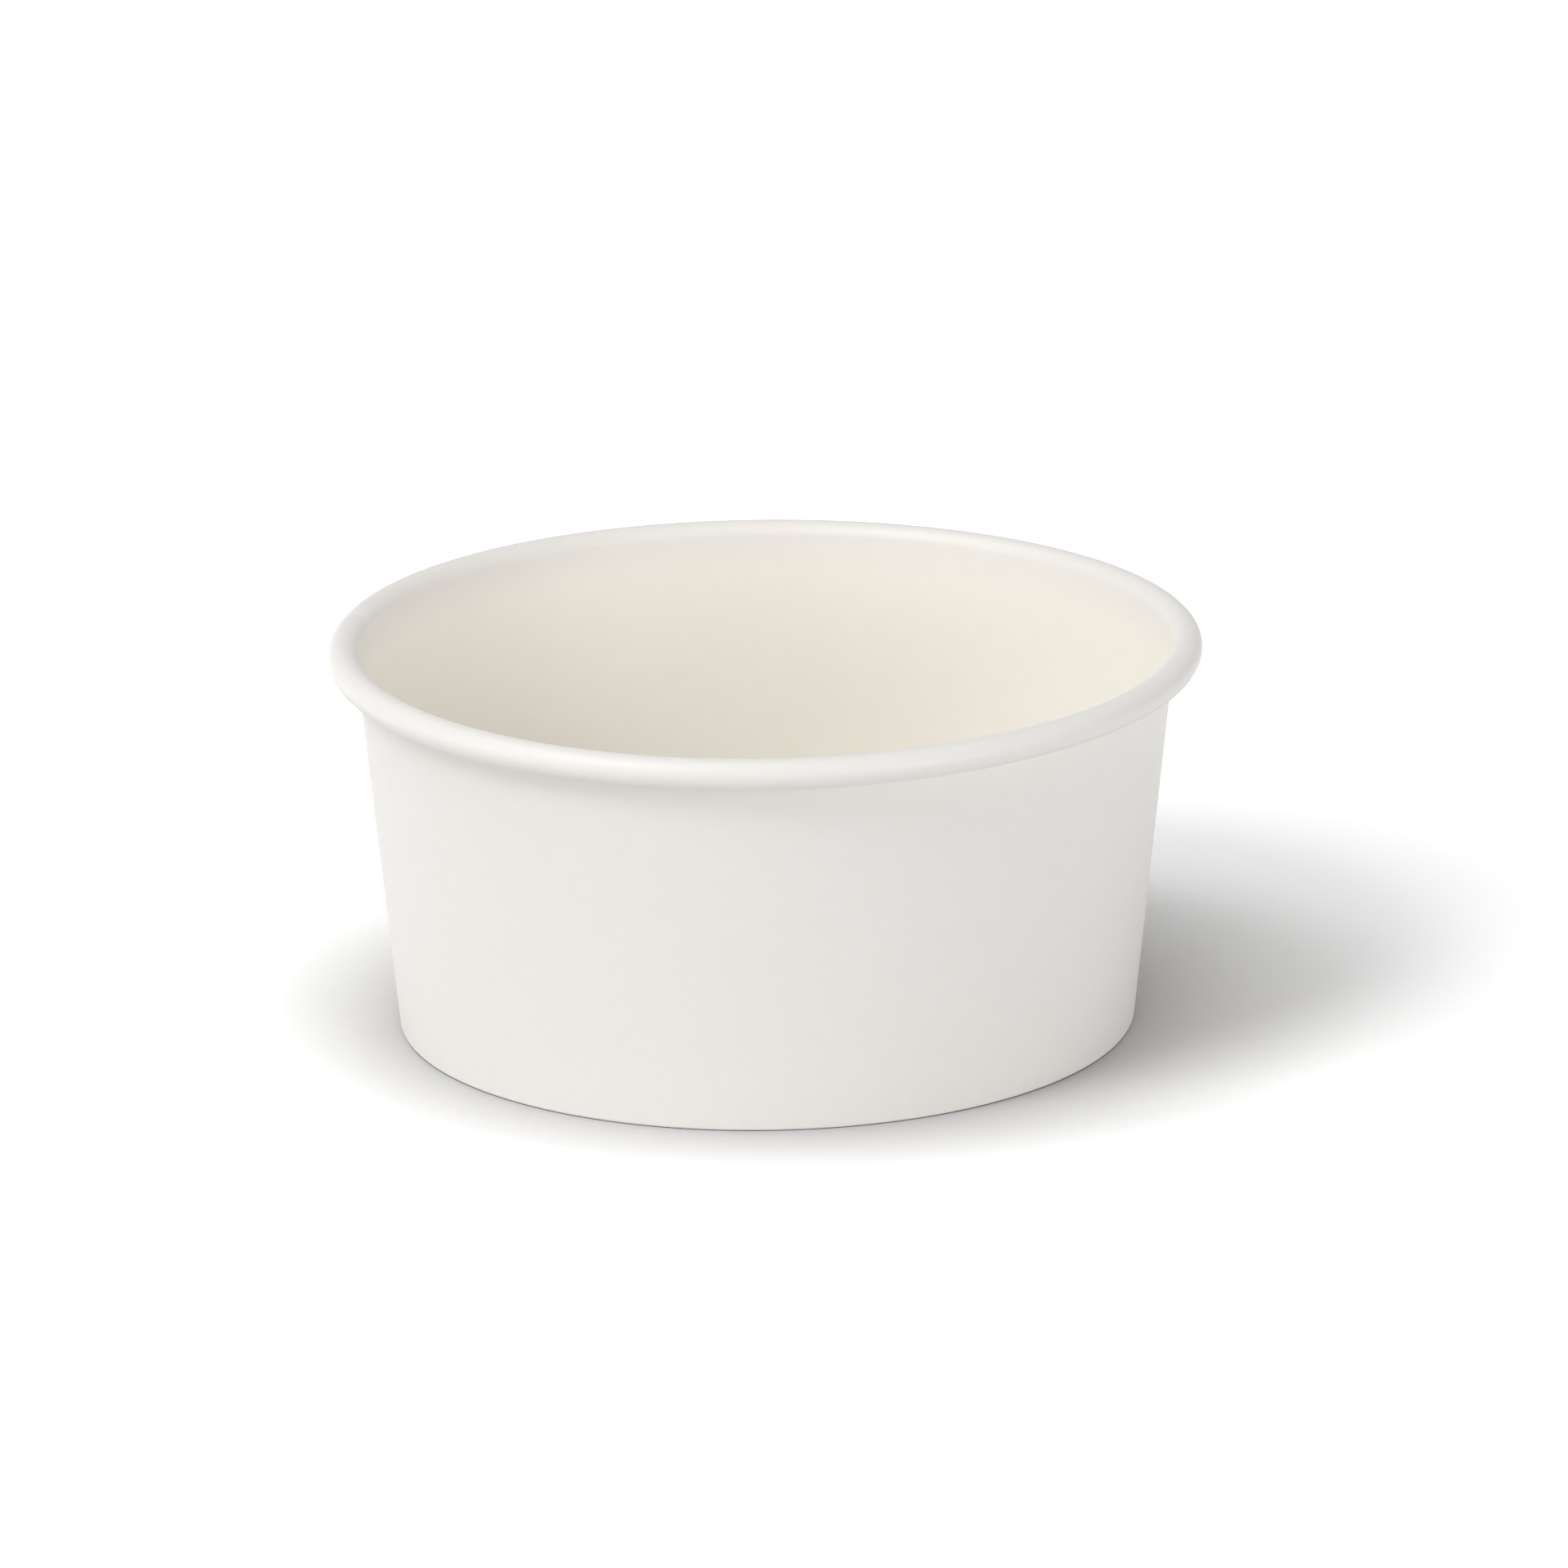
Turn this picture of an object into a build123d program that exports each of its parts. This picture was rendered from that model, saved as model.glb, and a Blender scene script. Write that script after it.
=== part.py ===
from build123d import *
import math
import os

# A paper sundae cup: a squat, tapered, round cup made of two pieces of white board.
#
# sidewall     one fan-shaped blank, wrapped into a cone. Its two straight edges lap and are
#              sealed down the side, its top edge is rolled outwards into the rim, and its
#              bottom edge is turned in and up as a hem that grips the bottom disc's skirt.
# bottom_disc  one round blank whose edge is pressed down into a short skirt, which is
#              sealed between the wall and the hem, so the floor stands above the table.
#
# Frame: +Z up, origin on the table at the middle of the foot. The seam is near -X.

# Driving dimensions, in millimetres.
rim_diameter = 98.0  # across the outside of the rolled rim
cup_height = 44.5  # from the table to the top of the rim
base_diameter = 83.5  # outside of the wall, carried down to the table
wall_board = 0.35  # thickness of the sidewall's board
base_board = 0.30  # thickness of the bottom disc's board
lap_width = 7.0  # overlap of the blank's two edges, measured at the rim
ramp_width = 2.6  # run in which the outer lap climbs onto the inner one, at the rim
floor_height = 6.0  # from the table to the underside of the floor
hem_clearance = 1.0  # from the hem's free edge up to the underside of the floor
seam_angle = 168.0  # degrees from +X to the inner lap's free edge

# Clearances and small radii, in millimetres.
seal_film = 0.02  # sealed plastic film on each side of the skirt
tuck_bend = 0.20  # inside of the roll's tucked edge, where the blank is lapped
roll_gap = 0.10  # between the roll's tucked edge and the wall beside it
skirt_clearance = 0.15  # under the skirt's edge, where the lapped hem is thickest
fold_radius = 0.05  # inside of the hem's fold
bend_radius = 0.30  # underside of the floor's bend into the skirt
roll_tuck = 150.0  # degrees of the roll's second, tighter turn

# What follows from them. The lapped board crosses the roll's radius twice, so the roll is
# as large as that needs: 3.4 mm from top to underside.
lap_layers = 2
rim_radius = rim_diameter / 2
roll_radius = tuck_bend + 2 * lap_layers * wall_board + roll_gap
roll_centre = Vector(rim_radius - roll_radius, cup_height - roll_radius)
foot_corner = Vector(base_diameter / 2, 0)
skirt_gap = base_board + 2 * seal_film
hem_height = floor_height - hem_clearance
lap_angle = math.degrees(lap_width / rim_radius)
ramp_angle = math.degrees(ramp_width / rim_radius)


def wall_angle():
    """Lean of the wall from upright, in radians: its outer face runs from the foot's corner
    and just touches a circle one board's thickness inside the roll."""
    to_roll = roll_centre - foot_corner
    return math.atan2(to_roll.X, to_roll.Y) - math.asin((roll_radius - wall_board) / to_roll.length)


# Directions in the section: up the wall, and square to it towards the inside of the cup.
lean = wall_angle()
up_wall = Vector(math.sin(lean), math.cos(lean))
inwards = Vector(-math.cos(lean), math.sin(lean))


def on_slope(start, height):
    """The point at a height on the line that starts at a point and runs along the wall."""
    return start + up_wall * ((height - start.Y) / up_wall.Y)


def sheet_line(depth, layers):
    """The line in the section that stays one depth under the board's inside face, from the
    edge tucked into the roll to the hem's free edge. There are more layers at the lap, so
    the roll's tuck is tighter there, and the fold is pressed flat at the same foot."""
    tuck_radius = roll_radius - layers * wall_board - roll_gap
    tuck_centre = roll_centre + Vector(0, tuck_radius - roll_radius)
    tuck = CenterArc(tuck_centre, tuck_radius - depth, -90 - roll_tuck, roll_tuck)
    roll = CenterArc(roll_centre, roll_radius - depth, -90, 270 - math.degrees(lean))
    wall_top = roll_centre + inwards * (roll_radius - depth)
    hem_side = roll_centre + inwards * (roll_radius + skirt_gap)
    foot_level = layers * wall_board - depth
    wall_foot = on_slope(wall_top, foot_level)
    hem_foot = on_slope(hem_side + inwards * depth, foot_level)
    hem_edge = on_slope(hem_side, hem_height) + inwards * depth
    fold = FilletPolyline(wall_top, wall_foot, hem_foot, hem_edge, radius=fold_radius + depth)
    return [*tuck.edges(), *roll.edges(), *fold.edges()]


def board_section(inner_depth, outer_depth, layers):
    """The sidewall's section between two depths, as a face in the XZ plane."""
    inner = Wire(sheet_line(inner_depth, layers))
    outer = Wire(sheet_line(outer_depth, layers))
    tucked_edge = Line(inner @ 0, outer @ 0)
    hem_edge = Line(inner @ 1, outer @ 1)
    outline = Wire([*inner.edges(), *outer.edges(), *tucked_edge.edges(), *hem_edge.edges()])
    return Plane.XZ * Face(outline)


def sector(section, start, end):
    """A section turned about the cup's axis from one angle to another, in degrees."""
    return revolve(section.rotate(Axis.Z, start), Axis.Z, end - start)


def make_sidewall():
    """The wrapped blank: a single wall, a ramp up onto the lap, and the double lap. Both
    cut edges of the blank show, one inside the cup and one outside."""
    single = board_section(0, wall_board, layers=1)
    lapped = board_section(0, lap_layers * wall_board, lap_layers)
    on_top = board_section(wall_board, lap_layers * wall_board, lap_layers)
    lap_end = seam_angle + lap_angle
    ramp_start = seam_angle + 360 - ramp_angle
    ramp = loft([single.rotate(Axis.Z, ramp_start), on_top.rotate(Axis.Z, seam_angle)], ruled=True)
    return sector(single, lap_end, ramp_start) + ramp + sector(lapped, seam_angle, lap_end)


def make_bottom_disc():
    """The pressed disc: a flat floor, a rounded bend, and a skirt that leans with the wall."""
    skirt_face = roll_centre + inwards * (roll_radius + seal_film)
    skirt_end = lap_layers * wall_board + skirt_clearance
    floor_top = floor_height + base_board

    def disc_line(depth):
        """The line one depth under the disc's top and outer face."""
        face = skirt_face + inwards * depth
        floor = floor_top - depth
        edge = on_slope(skirt_face, skirt_end) + inwards * depth
        bend = bend_radius + base_board - depth
        return FilletPolyline((0, floor), on_slope(face, floor), edge, radius=bend)

    upper, under = disc_line(0), disc_line(base_board)
    axis_side = Line(upper @ 0, under @ 0)
    skirt_edge = Line(upper @ 1, under @ 1)
    outline = Wire([*upper.edges(), *under.edges(), *axis_side.edges(), *skirt_edge.edges()])
    return revolve(Plane.XZ * Face(outline), Axis.Z, 360)


os.makedirs("parts", exist_ok=True)
export_step(make_sidewall(), "parts/sidewall.step")
export_step(make_bottom_disc(), "parts/bottom_disc.step")
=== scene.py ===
import math

import bmesh
import bpy
from mathutils import Matrix, Vector


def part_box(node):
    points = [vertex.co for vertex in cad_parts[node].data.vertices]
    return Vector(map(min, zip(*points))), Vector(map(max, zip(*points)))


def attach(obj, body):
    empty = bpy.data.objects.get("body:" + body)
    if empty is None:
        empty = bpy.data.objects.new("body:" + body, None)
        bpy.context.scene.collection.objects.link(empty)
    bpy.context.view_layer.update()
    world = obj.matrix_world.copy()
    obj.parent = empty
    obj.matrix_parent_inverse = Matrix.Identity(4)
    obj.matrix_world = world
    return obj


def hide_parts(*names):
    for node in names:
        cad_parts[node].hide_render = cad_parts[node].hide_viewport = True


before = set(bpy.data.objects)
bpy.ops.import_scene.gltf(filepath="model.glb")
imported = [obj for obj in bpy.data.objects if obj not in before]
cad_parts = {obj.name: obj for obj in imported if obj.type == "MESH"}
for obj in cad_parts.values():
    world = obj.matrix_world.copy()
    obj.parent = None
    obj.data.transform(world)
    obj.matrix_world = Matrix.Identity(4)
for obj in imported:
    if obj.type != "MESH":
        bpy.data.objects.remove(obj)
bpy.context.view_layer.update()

# Viewpoint. A long lens looks down at the open cup from a little above its rim, so that the far
# wall's inside shows and the floor doesn't. The lens is aimed just right of the cup.
view_distance = 1.176
view_rise = math.radians(16.90)
view_roll = math.radians(-0.71)
view_target = Vector((0.00207, 0, 0.0269))
lens_length = 240.0
film_width = 36.0
view_limit = 20.0

backwards = Vector((0, -math.cos(view_rise), math.sin(view_rise)))
level_right = Vector((1, 0, 0))
level_up = backwards.cross(level_right)
right = level_right * math.cos(view_roll) + level_up * math.sin(view_roll)
up = level_up * math.cos(view_roll) - level_right * math.sin(view_roll)
place = Matrix((right, up, backwards)).transposed().to_4x4()
place.translation = view_target + backwards * view_distance

lens = bpy.data.cameras.new("viewpoint")
lens.sensor_width = film_width
lens.lens = lens_length
lens.clip_end = view_limit
camera = bpy.data.objects.new("viewpoint", lens)
camera.matrix_world = place
bpy.context.scene.collection.objects.link(camera)
bpy.context.scene.camera = camera
bpy.context.scene.view_settings.view_transform = "Standard"

# Table. A wide, matt white sheet that the cup stands on. It looks paper white from anywhere but
# keeps the cup's shadow, and it throws soft light back up at the wall. Distances are in metres.
table_reach = 6.0
table_white = (0.80, 0.80, 0.80)
seen_white = (1.44, 1.44, 1.44)
# Painted shade round the cup's foot: how far it reaches from the wall and how deep it goes.
contact_shade_reach = 0.026
contact_shade_depth = 1.2
glow_start = 0.10
glow_end = 0.18
glow_strength = 0.48


def wire(tree, kind, inputs=(), **settings):
    """A new node with its settings, and each of its inputs set to a value or joined up."""
    made = tree.nodes.new(kind)
    for name, value in settings.items():
        setattr(made, name, value)
    for name, value in dict(inputs).items():
        if isinstance(value, bpy.types.NodeSocket):
            tree.links.new(value, made.inputs[name])
        else:
            made.inputs[name].default_value = value
    return made


def looked_at(tree):
    """1 where a surface is seen, directly, in a gloss or through glass, and 0 where it lights."""
    ray = wire(tree, "ShaderNodeLightPath").outputs
    seen = ray["Is Camera Ray"]
    for way in ("Is Glossy Ray", "Is Transmission Ray"):
        seen = wire(tree, "ShaderNodeMath", {0: seen, 1: ray[way]}, operation="MAXIMUM").outputs[0]
    return seen


def white_table():
    """Matt white. Where it is looked at it is brighter, so that it reads as white paper, and round
    the cup's foot it carries painted shade, darker where the cup's wall is near. Away from the cup
    and its shadow it also glows a little, so that it stays white to the horizon."""
    material = bpy.data.materials.new("white_table")
    material.use_nodes = True
    tree = material.node_tree
    tree.nodes.clear()
    working = wire(tree, "ShaderNodeBsdfDiffuse", {"Color": (*table_white, 1)})
    # Painted shade: the seen white is darkened near the cup's foot by ambient occlusion, not by the lamps.
    openness = wire(tree, "ShaderNodeAmbientOcclusion", {"Distance": contact_shade_reach}).outputs["AO"]
    painted_contact_shade = wire(tree, "ShaderNodeMath", {0: openness, 1: contact_shade_depth}, operation="POWER").outputs[0]
    white = wire(tree, "ShaderNodeVectorMath", {0: seen_white, "Scale": painted_contact_shade}, operation="SCALE")
    shown = wire(tree, "ShaderNodeBsdfDiffuse", {"Color": white.outputs[0]})
    where = wire(tree, "ShaderNodeTexCoord").outputs["Object"]
    away = wire(tree, "ShaderNodeVectorMath", {0: where}, operation="LENGTH").outputs["Value"]
    spread = {"Value": away, "From Min": glow_start, "From Max": glow_end, "To Max": glow_strength}
    faded = wire(tree, "ShaderNodeMapRange", spread, interpolation_type="SMOOTHSTEP").outputs[0]
    glow = wire(tree, "ShaderNodeEmission", {"Color": (1, 1, 1, 1), "Strength": faded})
    bright = wire(tree, "ShaderNodeAddShader", {0: shown.outputs[0], 1: glow.outputs[0]})
    both = wire(tree, "ShaderNodeMixShader",
                {0: looked_at(tree), 1: working.outputs[0], 2: bright.outputs[0]})
    wire(tree, "ShaderNodeOutputMaterial", {"Surface": both.outputs[0]})
    return material


table_mesh = bpy.data.meshes.new("table")
corners = [(x * table_reach, y * table_reach, 0) for x, y in ((-1, -1), (1, -1), (1, 1), (-1, 1))]
table_mesh.from_pydata(corners, [], [(0, 1, 2, 3)])
table_mesh.materials.append(white_table())
table = bpy.data.objects.new("table", table_mesh)
bpy.context.scene.collection.objects.link(table)

# Lamps. Two broad soft boxes high on the left in front throw the shadow back to the right, and one
# high on the left lights the rim and the far wall's inside. Three low ones fill the wall from its
# left to its right, and a pale room fills the rest.
lamp_aim = Vector((0, 0, 0.02))
room_light = 0.31
room_seen = 1.0


def soft_box(name, watts, bearing, rise, distance, width, height):
    """A soft lamp turned towards the cup, in watts, degrees and metres. Its bearing is counted
    counter-clockwise from +X."""
    lamp = bpy.data.lights.new(name, "AREA")
    lamp.shape = "RECTANGLE"
    lamp.size = width
    lamp.size_y = height
    lamp.energy = watts
    box = bpy.data.objects.new(name, lamp)
    turn, tilt = math.radians(bearing), math.radians(rise)
    level = math.cos(tilt)
    place = Vector((math.cos(turn) * level, math.sin(turn) * level, math.sin(tilt))) * distance
    box.location = place
    box.rotation_euler = (place - lamp_aim).to_track_quat("Z", "Y").to_euler()
    box.visible_camera = False
    bpy.context.scene.collection.objects.link(box)


soft_box("key_box", 7.2, 222, 46, 1.8, 0.7, 0.5)
soft_box("tall_box", 4.3, 222, 50, 1.8, 0.5, 1.1)
soft_box("side_box", 3.9, 180, 60, 1.6, 0.6, 0.6)
soft_box("left_fill", 3.3, 195, 14, 1.5, 0.8, 0.5)
soft_box("right_fill", 5.6, 310, 14, 1.5, 0.8, 0.5)
soft_box("far_fill", 1.3, 340, 14, 1.5, 0.8, 0.5)

world = bpy.data.worlds.new("room")
bpy.context.scene.world = world
world.use_nodes = True
room = world.node_tree
room.nodes.clear()
lit = wire(room, "ShaderNodeBackground", {"Color": (1, 1, 1, 1), "Strength": room_light})
shown = wire(room, "ShaderNodeBackground", {"Color": (1, 1, 1, 1), "Strength": room_seen})
either = wire(room, "ShaderNodeMixShader", {0: looked_at(room), 1: lit.outputs[0], 2: shown.outputs[0]})
wire(room, "ShaderNodeOutputWorld", {"Surface": either.outputs[0]})

# Sidewall. One fan-shaped blank of white board, film coated inside, wrapped into a cone and
# sealed where its straight edges lap. Its top is rolled outwards into the rim and its bottom is
# turned in and up as a hem, which grips the bottom disc's skirt.
mm = 0.001
quarter = math.radians(90)
wall_low, wall_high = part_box("sidewall")
rim_radius = wall_high.x
cup_height = wall_high.z
foot_radius = 41.75 * mm
board = 0.35 * mm
pressed = 0.85 * board
disc_board = 0.30 * mm
film = 0.02 * mm
roll_radius = 1.70 * mm
roll_gap = 0.10 * mm
roll_tuck = math.radians(150)
fold_radius = 0.05 * mm
hem_height = 5.0 * mm
lap_start = math.radians(168.0)
lap_angle = 7.0 * mm / rim_radius
ramp_angle = 2.6 * mm / rim_radius
steps_round = 720
tuck_steps, roll_steps, wall_steps, fold_steps, hem_steps = 8, 26, 10, 6, 9

roll_centre = Vector((rim_radius - roll_radius, cup_height - roll_radius))
to_roll = roll_centre - Vector((foot_radius, 0))
lean = math.atan2(to_roll.x, to_roll.y) - math.asin((roll_radius - board) / to_roll.length)
up_wall = Vector((math.sin(lean), math.cos(lean)))
inwards = Vector((-math.cos(lean), math.sin(lean)))
skirt_gap = disc_board + 2 * film


def arc(centre, radius, start, sweep, steps):
    """Points on an arc in the section, from a starting angle, with its two ends."""
    angles = [start + sweep * i / steps for i in range(steps + 1)]
    return [centre + Vector((math.cos(a), math.sin(a))) * radius for a in angles]


def on_slope(start, height):
    """The point at a height on the line that starts at a point and runs along the wall."""
    return start + up_wall * ((height - start.y) / up_wall.y)


def board_line(depth, layers):
    """The line that stays one depth under the board's inside face, from the edge tucked into
    the roll, round the rim, down the wall, through the fold and up to the hem's free edge."""
    tuck_radius = roll_radius - layers * board - roll_gap
    tuck_centre = roll_centre + Vector((0, tuck_radius - roll_radius))
    line = arc(tuck_centre, tuck_radius - depth, -quarter - roll_tuck, roll_tuck, tuck_steps)[:-1]
    line += arc(roll_centre, roll_radius - depth, -quarter, 3 * quarter - lean, roll_steps)
    wall_top = line[-1]
    bend = fold_radius + depth
    level = layers * board - depth + bend
    hem_side = roll_centre + inwards * (roll_radius + skirt_gap + depth)
    outer_bend = on_slope(wall_top + inwards * bend, level)
    inner_bend = on_slope(hem_side - inwards * bend, level)
    first = arc(outer_bend, bend, -lean, lean - quarter, fold_steps)
    line += [wall_top.lerp(first[0], i / wall_steps) for i in range(1, wall_steps)]
    line += first + arc(inner_bend, bend, -quarter, -quarter - lean, fold_steps + 1)
    hem_foot = line[-1]
    hem_edge = on_slope(hem_side, hem_height)
    return line + [hem_foot.lerp(hem_edge, i / hem_steps) for i in range(1, hem_steps + 1)]


def board_loop(inner_depth, outer_depth, layers):
    """The board's section as a closed loop: along its inside face and back along its outside."""
    return board_line(inner_depth, layers) + board_line(outer_depth, layers)[::-1]


def section_wires(name, loop, closed, **notes):
    """A wire mesh of one section, carrying a value or a second place for each of its points."""
    count = len(loop)
    ends = [(i, (i + 1) % count) for i in range(count if closed else count - 1)]
    mesh = bpy.data.meshes.new(name)
    mesh.from_pydata([(p.x, p.y, 0) for p in loop], ends, [])
    for note, values in {"alone": loop, **notes}.items():
        if isinstance(values[0], Vector):
            layer = mesh.attributes.new(note, "FLOAT_VECTOR", "POINT")
            layer.data.foreach_set("vector", [c for p in values for c in (p.x, 0, p.y)])
        else:
            layer = mesh.attributes.new(note, "FLOAT", "POINT")
            layer.data.foreach_set("value", values)
    wires = bpy.data.objects.new(name, mesh)
    bpy.context.scene.collection.objects.link(wires)
    return wires


def wrapping_tree():
    """Geometry nodes that carry a section round the cup's axis. Past one full turn the board
    climbs a short ramp onto its own start and lies there as the lap."""
    join_gap = 0.001 * mm
    tree = bpy.data.node_groups.new("wrapping", "GeometryNodeTree")
    face = tree.interface
    face.new_socket("Section", in_out="INPUT", socket_type="NodeSocketGeometry")
    for name, kind in (("Steps", "Int"), ("Start", "Float"), ("Turn", "Float"), ("Lap", "Float"),
                       ("Ramp", "Float"), ("Marks", "Int"), ("Mark Depth", "Float"), ("Capped", "Bool"),
                       ("Finish", "Material")):
        face.new_socket(name, in_out="INPUT", socket_type="NodeSocket" + kind)
    face.new_socket("Piece", in_out="OUTPUT", socket_type="NodeSocketGeometry")
    given = wire(tree, "NodeGroupInput").outputs

    def number(operation, *values):
        return wire(tree, "ShaderNodeMath", enumerate(values), operation=operation).outputs[0]

    def noted(name, data_type="FLOAT"):
        note = wire(tree, "GeometryNodeInputNamedAttribute", {"Name": name}, data_type=data_type)
        return note.outputs[0]

    def eased(value, start, run):
        end = number("ADD", start, run)
        return wire(tree, "ShaderNodeMapRange", {"Value": value, "From Min": start, "From Max": end},
                    interpolation_type="SMOOTHSTEP").outputs[0]

    def blended(share, first, second):
        return wire(tree, "ShaderNodeMix", {0: share, 4: first, 5: second}, data_type="VECTOR").outputs[1]

    # One rail point for each step round, each with its angle.
    line = wire(tree, "GeometryNodeCurvePrimitiveLine")
    rail = wire(tree, "GeometryNodeResampleCurve", {"Curve": line.outputs[0], "Count": given["Steps"]})
    share = wire(tree, "GeometryNodeSplineParameter").outputs["Factor"]
    angle = number("MULTIPLY_ADD", share, given["Turn"], given["Start"])
    rail = wire(tree, "GeometryNodeStoreNamedAttribute",
                {"Geometry": rail.outputs[0], "Name": "turn", "Value": angle})
    profile = wire(tree, "GeometryNodeMeshToCurve", {"Mesh": given["Section"]})
    sweep = {"Curve": rail.outputs[0], "Profile Curve": profile.outputs[0], "Fill Caps": given["Capped"]}
    shell = wire(tree, "GeometryNodeCurveToMesh", sweep)

    # The first edge lies under the lap, then the board is alone, then it climbs over the edge.
    turn = noted("turn")
    lap_end = number("ADD", given["Start"], given["Lap"])
    full_turn = number("ADD", given["Start"], math.tau)
    climb_start = number("SUBTRACT", full_turn, given["Ramp"])
    past_lap = eased(turn, lap_end, given["Ramp"])
    over_lap = eased(turn, climb_start, given["Ramp"])
    place = blended(past_lap, noted("under", "FLOAT_VECTOR"), noted("alone", "FLOAT_VECTOR"))
    place = blended(over_lap, place, noted("over", "FLOAT_VECTOR"))

    # Press marks: upright grooves, evenly spaced, as deep as each point's own share.
    wave = number("COSINE", number("MULTIPLY", turn, given["Marks"]))
    groove = number("MULTIPLY", number("MULTIPLY", wave, given["Mark Depth"]), noted("mark"))
    push = wire(tree, "ShaderNodeCombineXYZ", {"X": groove}).outputs[0]
    place = wire(tree, "ShaderNodeVectorMath", {0: place, 1: push}, operation="ADD").outputs[0]
    place = wire(tree, "ShaderNodeVectorRotate", {"Vector": place, "Angle": turn},
                 rotation_type="Z_AXIS").outputs[0]
    shell = wire(tree, "GeometryNodeSetPosition", {"Geometry": shell.outputs[0], "Position": place})

    # The blank's own flat layout, in metres: round the cup, and along the section.
    round_cup = number("MULTIPLY", turn, rim_radius)
    layout = wire(tree, "ShaderNodeCombineXYZ", {"X": round_cup, "Y": noted("along")}).outputs[0]
    shell = wire(tree, "GeometryNodeStoreNamedAttribute",
                 {"Geometry": shell.outputs[0], "Name": "UVMap", "Value": layout},
                 data_type="FLOAT2", domain="CORNER")
    whole = wire(tree, "GeometryNodeMergeByDistance", {"Geometry": shell.outputs[0], "Distance": join_gap})
    plain = wire(tree, "GeometryNodeRealizeInstances", {"Geometry": whole.outputs[0]})
    smooth = wire(tree, "GeometryNodeSetShadeSmooth", {"Geometry": plain.outputs[0]})
    done = wire(tree, "GeometryNodeSetMaterial",
                {"Geometry": smooth.outputs[0], "Material": given["Finish"]})
    wire(tree, "NodeGroupOutput", {0: done.outputs[0]})
    return tree


def wrapped(name, wires, tree, **sizes):
    """The finished board: the section carried round by the tree, as a plain closed mesh."""
    crease = math.radians(40)
    wrap = wires.modifiers.new("wrap", "NODES")
    wrap.node_group = tree
    for item in tree.interface.items_tree:
        size = item.name.lower().replace(" ", "_")
        if size in sizes:
            wrap[item.identifier] = sizes[size]
    depsgraph = bpy.context.evaluated_depsgraph_get()
    mesh = bpy.data.meshes.new_from_object(wires.evaluated_get(depsgraph), depsgraph=depsgraph)
    wires.modifiers.remove(wrap)
    bpy.data.objects.remove(wires)
    mesh.name = name
    shell = bmesh.new()
    shell.from_mesh(mesh)
    bmesh.ops.recalc_face_normals(shell, faces=shell.faces)
    shell.to_mesh(mesh)
    shell.free()
    mesh.set_sharp_from_angle(angle=crease)
    piece = bpy.data.objects.new(name, mesh)
    bpy.context.scene.collection.objects.link(piece)
    return piece


def settled(mesh):
    """A thin cup is never quite true. The rim has three faint lobes and dips a little in front,
    the foot is faintly oval, and the foot stays flat on the table."""
    rim_lobes, lobe_turn = 0.23 * mm, 0.70
    foot_oval, oval_turn = 0.33 * mm, 2.74
    rim_dip = 0.29 * mm
    rim_bow = 0.08 * mm
    foot_shift = -0.12 * mm
    for vertex in mesh.vertices:
        x, y, z = vertex.co
        radius = math.hypot(x, y)
        angle = math.atan2(y, x)
        share = z / cup_height
        out = share * rim_lobes * math.cos(3 * angle - lobe_turn)
        out += (1 - share) * foot_oval * math.cos(2 * angle - oval_turn)
        scale = 1 + out / rim_radius
        rise = rim_dip * math.sin(angle) + rim_bow * math.cos(2 * angle)
        lift = share * radius / rim_radius * rise
        vertex.co = (x * scale + (1 - share) * foot_shift, y * scale, z + lift)


# The inside's cream is partly the film's own warmer tint and partly painted light: it is set lighter
# than the outside's white so that the hollow renders brighter.
inside_cream = (0.95, 0.926, 0.857)
outside_white = (0.90, 0.875, 0.842)
bare_edge = (0.86, 0.82, 0.74)


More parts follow.
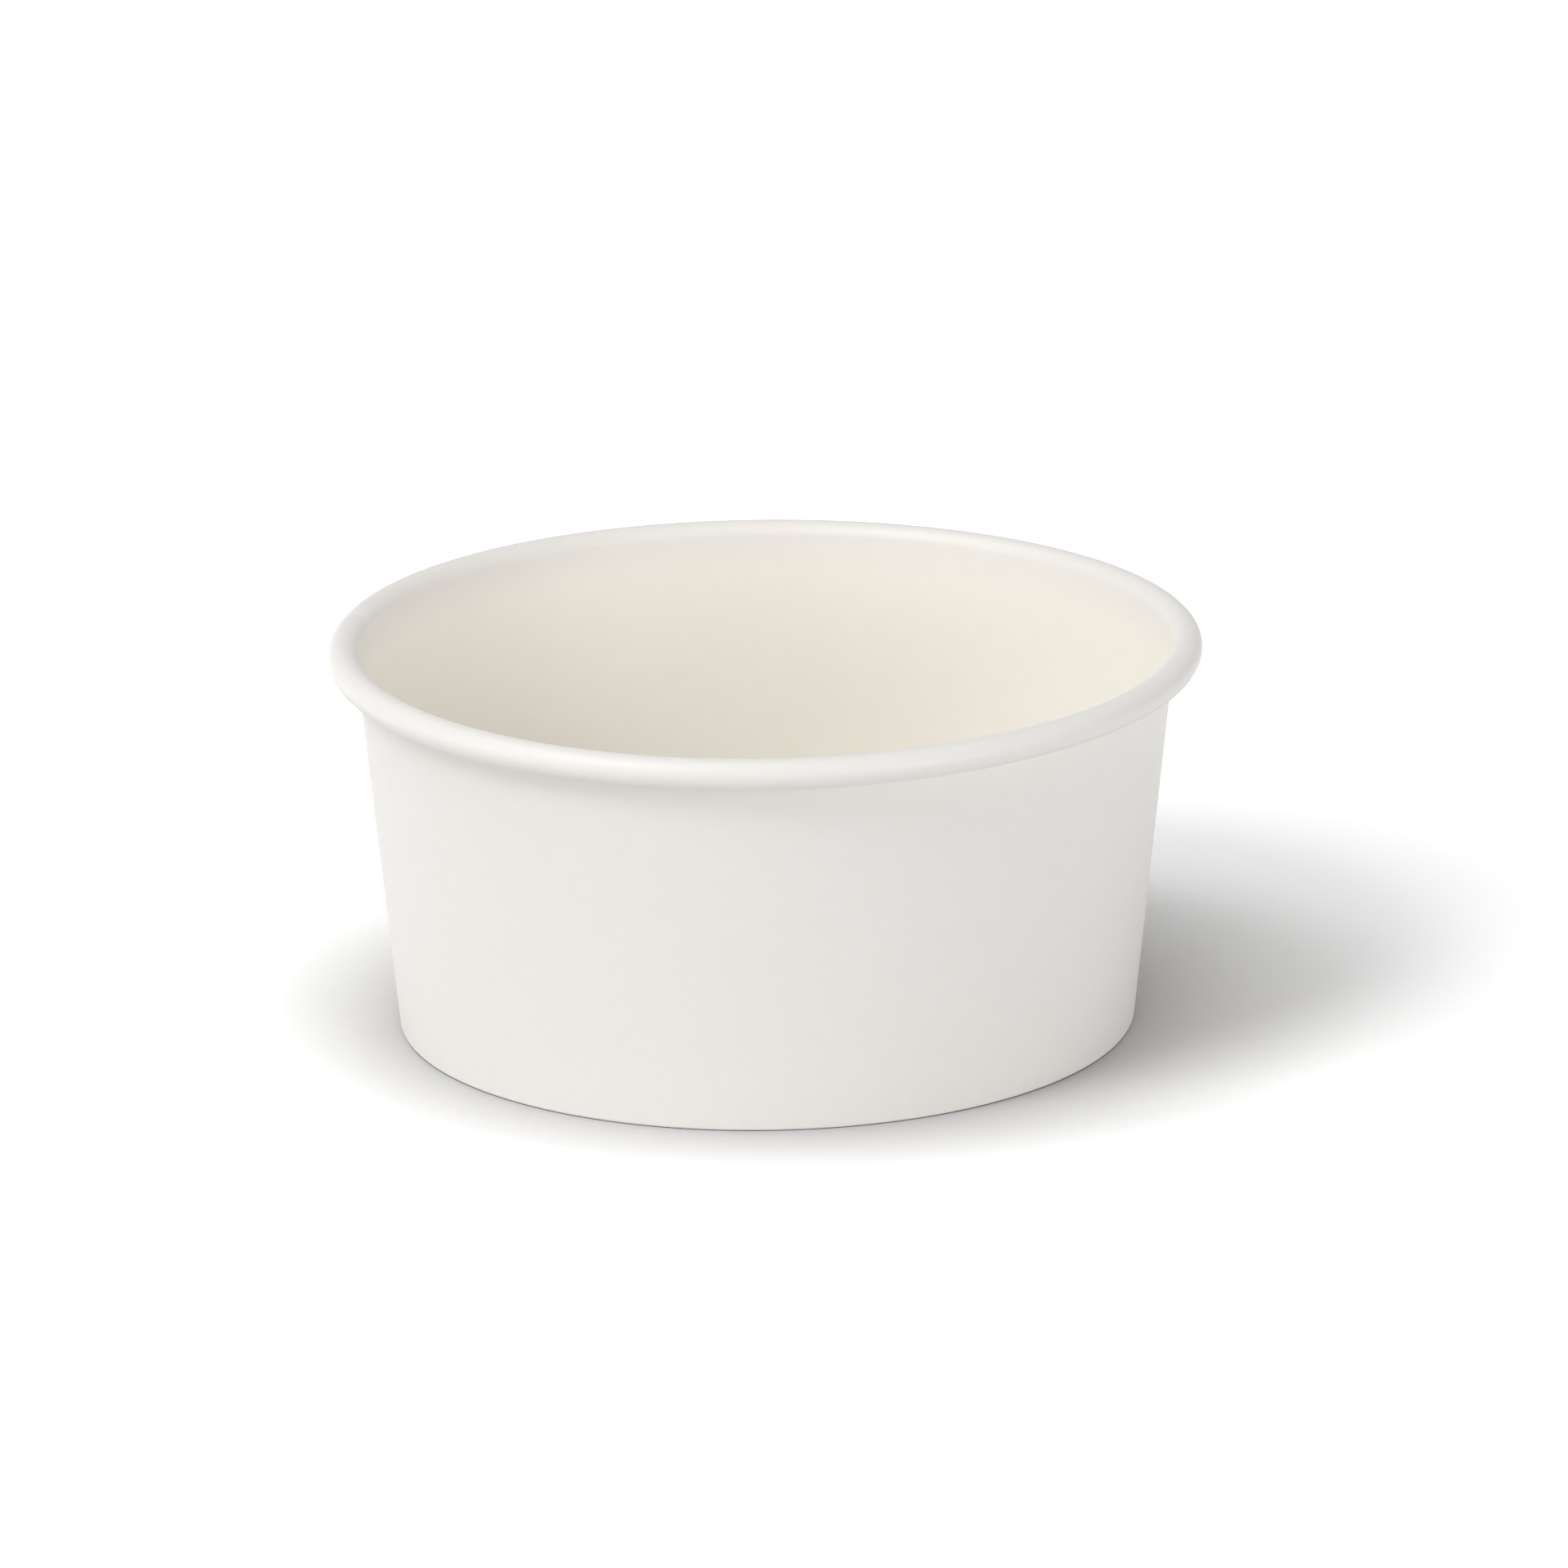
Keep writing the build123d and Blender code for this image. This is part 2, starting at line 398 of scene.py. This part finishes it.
def coated_board(name, coordinates):
    """White cup board: a thin satin film over clumped wood fibre, with a bare fibrous edge. The inside's
    film is a warmer white than the outside's, and it is also painted lighter and creamier down in the
    hollow than on the rim, as painted light."""
    clumps_per_metre = 420.0
    fibres_per_metre = 3200.0
    grain_stretch = (1, 0.3, 1)
    mottle_dark = 0.985
    satin_low, satin_high = 0.40, 0.50
    edge_roughness = 0.4
    relief_depth, relief_strength = 0.02 * mm, 0.25
    material = bpy.data.materials.new(name)
    material.use_nodes = True
    tree = material.node_tree
    shader = tree.nodes["Principled BSDF"]

    def noted(attribute):
        return wire(tree, "ShaderNodeAttribute", attribute_name=attribute).outputs["Fac"]

    def tinted(share, first, second, how="MIX"):
        return wire(tree, "ShaderNodeMix", {0: share, 6: first, 7: second}, data_type="RGBA",
                    blend_type=how).outputs[2]

    def ranged(value, low, high, to_low, to_high):
        limits = {"Value": value, "From Min": low, "From Max": high, "To Min": to_low, "To Max": to_high}
        return wire(tree, "ShaderNodeMapRange", limits).outputs[0]

    where = wire(tree, "ShaderNodeTexCoord").outputs[coordinates]
    grain = wire(tree, "ShaderNodeMapping", {"Vector": where, "Scale": grain_stretch}).outputs[0]
    clumped = {"Vector": where, "Scale": clumps_per_metre, "Detail": 3.0}
    clumps = wire(tree, "ShaderNodeTexNoise", clumped).outputs["Fac"]
    fibrous = {"Vector": grain, "Scale": fibres_per_metre, "Detail": 4.0, "Roughness": 0.6}
    fibres = wire(tree, "ShaderNodeTexNoise", fibrous).outputs["Fac"]
    mottle = wire(tree, "ShaderNodeMath", {0: clumps, 1: fibres}, operation="MULTIPLY").outputs[0]
    shade = ranged(mottle, 0.12, 0.40, mottle_dark, 1.0)
    # Painted light as well as the film's own tint: the hollow's inside face takes the lighter, creamier
    # colour.
    face = tinted(noted("cream"), (*outside_white, 1), (*inside_cream, 1))
    edge = noted("cut")
    colour = tinted(edge, face, (*bare_edge, 1))
    tree.links.new(tinted(1.0, colour, shade, "MULTIPLY"), shader.inputs["Base Color"])
    satin = ranged(fibres, 0.3, 0.7, satin_low, satin_high)
    rough = wire(tree, "ShaderNodeMath", {0: edge, 1: edge_roughness, 2: satin}, operation="MULTIPLY_ADD")
    tree.links.new(rough.outputs[0], shader.inputs["Roughness"])
    height = wire(tree, "ShaderNodeMath", {0: clumps, 1: fibres}, operation="ADD").outputs[0]
    relief = wire(tree, "ShaderNodeBump",
                  {"Strength": relief_strength, "Distance": relief_depth, "Height": height})
    tree.links.new(relief.outputs[0], shader.inputs["Normal"])
    return material


alone = board_loop(0, board, 1)
under = board_loop(0, pressed, 2)
over = board_loop(pressed + film, 2 * pressed, 2)
half = len(alone) // 2
lengths = [0.0]
for before, after in zip(alone, alone[1:half]):
    lengths.append(lengths[-1] + (after - before).length)
along = lengths + lengths[::-1]
roll_length = lengths[tuck_steps + roll_steps]
# Painted light: the inside face turns cream only below the rim roll, fading in over 4 mm, so the same
# film shows the outside's white where it rolls over into the rim.
cream_fade = 4.0 * mm
cream = [max(0.0, min(1.0, (length - roll_length) / cream_fade)) for length in lengths] + [0.0] * half
cut = [1.0 if i in (0, half - 1, half, 2 * half - 1) else 0.0 for i in range(2 * half)]

# The forming tool presses fine upright marks into the hem's exposed face, short of both its ends.
marks_round = 120
mark_depth = 0.04 * mm
mark_steps = 6
mark = [0.0] * half + [1.0 if 1 <= i <= mark_steps else 0.0 for i in range(half)]

wrapping = wrapping_tree()
wall_wires = section_wires("wall_section", alone, True, under=under, over=over, along=along, cream=cream,
                           cut=cut, mark=mark)
sidewall = wrapped("sidewall_board", wall_wires, wrapping, steps=steps_round, start=lap_start,
                   turn=math.tau + lap_angle, lap=lap_angle, ramp=ramp_angle, marks=marks_round,
                   mark_depth=mark_depth, capped=True, finish=coated_board("wall_board", "UV"))
settled(sidewall.data)
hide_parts("sidewall")
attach(sidewall, "root")

# Bottom disc. A round blank of thinner board. Its edge is pressed down into a short skirt, which
# is sealed between the wall and the hem, so that the floor stands clear of the table.
floor_underside = 6.0 * mm
floor_top = floor_underside + disc_board
skirt_clearance = 0.15 * mm
floor_bend = 0.30 * mm
disc_steps_round = 360
ring_steps, bend_steps, skirt_steps = 24, 8, 8


def disc_line(depth):
    """The line one depth under the disc's top and outer face, from its middle to its edge."""
    face = roll_centre + inwards * (roll_radius + film + depth)
    floor = floor_top - depth
    bend = floor_bend + disc_board - depth
    corner = arc(on_slope(face + inwards * bend, floor - bend), bend, quarter, -quarter - lean, bend_steps)
    rings = [Vector((corner[0].x * i / ring_steps, floor)) for i in range(ring_steps)]
    edge = on_slope(face, 2 * board + skirt_clearance + depth * math.sin(lean))
    return rings + corner + [corner[-1].lerp(edge, i / skirt_steps) for i in range(1, skirt_steps + 1)]


disc_top = disc_line(0)
disc_loop = disc_top + disc_line(disc_board)[::-1]
disc_half = len(disc_top)
disc_cream = [1.0] * disc_half + [0.0] * disc_half
disc_cut = [1.0 if i in (disc_half - 1, disc_half) else 0.0 for i in range(2 * disc_half)]
disc_wires = section_wires("disc_section", disc_loop, False, under=disc_loop, over=disc_loop,
                           cream=disc_cream, cut=disc_cut)
bottom_disc = wrapped("bottom_disc_board", disc_wires, wrapping, steps=disc_steps_round + 1, start=0.0,
                      turn=math.tau, lap=0.0, ramp=ramp_angle, marks=0, mark_depth=0.0, capped=False,
                      finish=coated_board("base_board", "Object"))
settled(bottom_disc.data)
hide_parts("bottom_disc")
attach(bottom_disc, "root")

bpy.context.view_layer.update()
